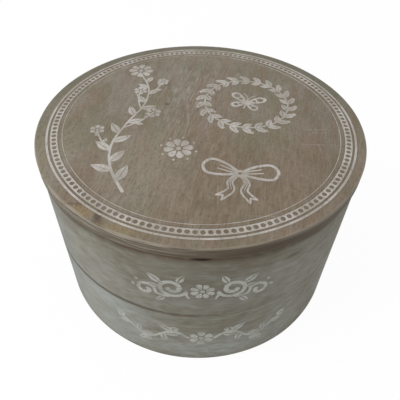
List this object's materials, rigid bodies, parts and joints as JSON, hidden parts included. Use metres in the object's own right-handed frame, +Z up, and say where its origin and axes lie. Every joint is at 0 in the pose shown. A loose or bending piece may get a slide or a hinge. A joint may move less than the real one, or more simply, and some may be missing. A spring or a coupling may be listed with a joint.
{
  "type": "rotating jewelry box",
  "caption": "Round wooden jewelry box with stacked trays and a flat lid that swivel sideways about one hidden upright bolt at the back.",
  "frame": {"origin": "on the table, under the middle of the round box", "axes": "+Z up; -Y is the front, where the wall is decorated; +Y is the back, where the pivot bolt stands"},
  "size_m": [0.22, 0.22, 0.1292],
  "materials": {
    "lid_wood": "matte taupe stain on plywood, with a worn white printed border and ornament",
    "wall_wood": "matte grey whitewash on plywood, worn, with faded white ornament",
    "tray_plywood": "raw matte plywood",
    "block_wood": "raw sanded solid wood",
    "felt": "dense wool felt",
    "steel": "zinc plated",
    "nylon": "natural nylon"
  },
  "bodies": {
    "base": {"lower_hoop": "wall_wood", "lower_floor": "tray_plywood", "lower_pivot_block": "block_wood", "lower_divider": "tray_plywood", "lower_felt_front": "felt", "lower_felt_back": "felt", "lower_screw_left": "steel", "lower_screw_right": "steel", "pivot_bolt": "steel", "bolt_washer": "steel", "lock_nut": "steel", "tray_spacer": "nylon"},
    "upper_tray": {"upper_hoop": "wall_wood", "upper_floor": "tray_plywood", "upper_pivot_block": "block_wood", "upper_divider_long": "tray_plywood", "upper_divider_cross": "tray_plywood", "upper_felt_front_left": "felt", "upper_felt_front_right": "felt", "upper_felt_back_left": "felt", "upper_felt_back_right": "felt", "upper_screw_left": "steel", "upper_screw_right": "steel", "lid_spacer": "nylon"},
    "lid": {"lid_under_panel": "lid_wood", "lid_top_panel": "lid_wood"}
  },
  "joints": [
    {"name": "upper_tray_swivel", "type": "hinge", "parent": "base", "child": "upper_tray", "pos_m": [0, 0.09, 0.0606], "axis": [0, 0, 1], "continuous": true},
    {"name": "lid_swivel", "type": "hinge", "parent": "upper_tray", "child": "lid", "pos_m": [0, 0.09, 0.1212], "axis": [0, 0, 1], "continuous": true}
  ]
}
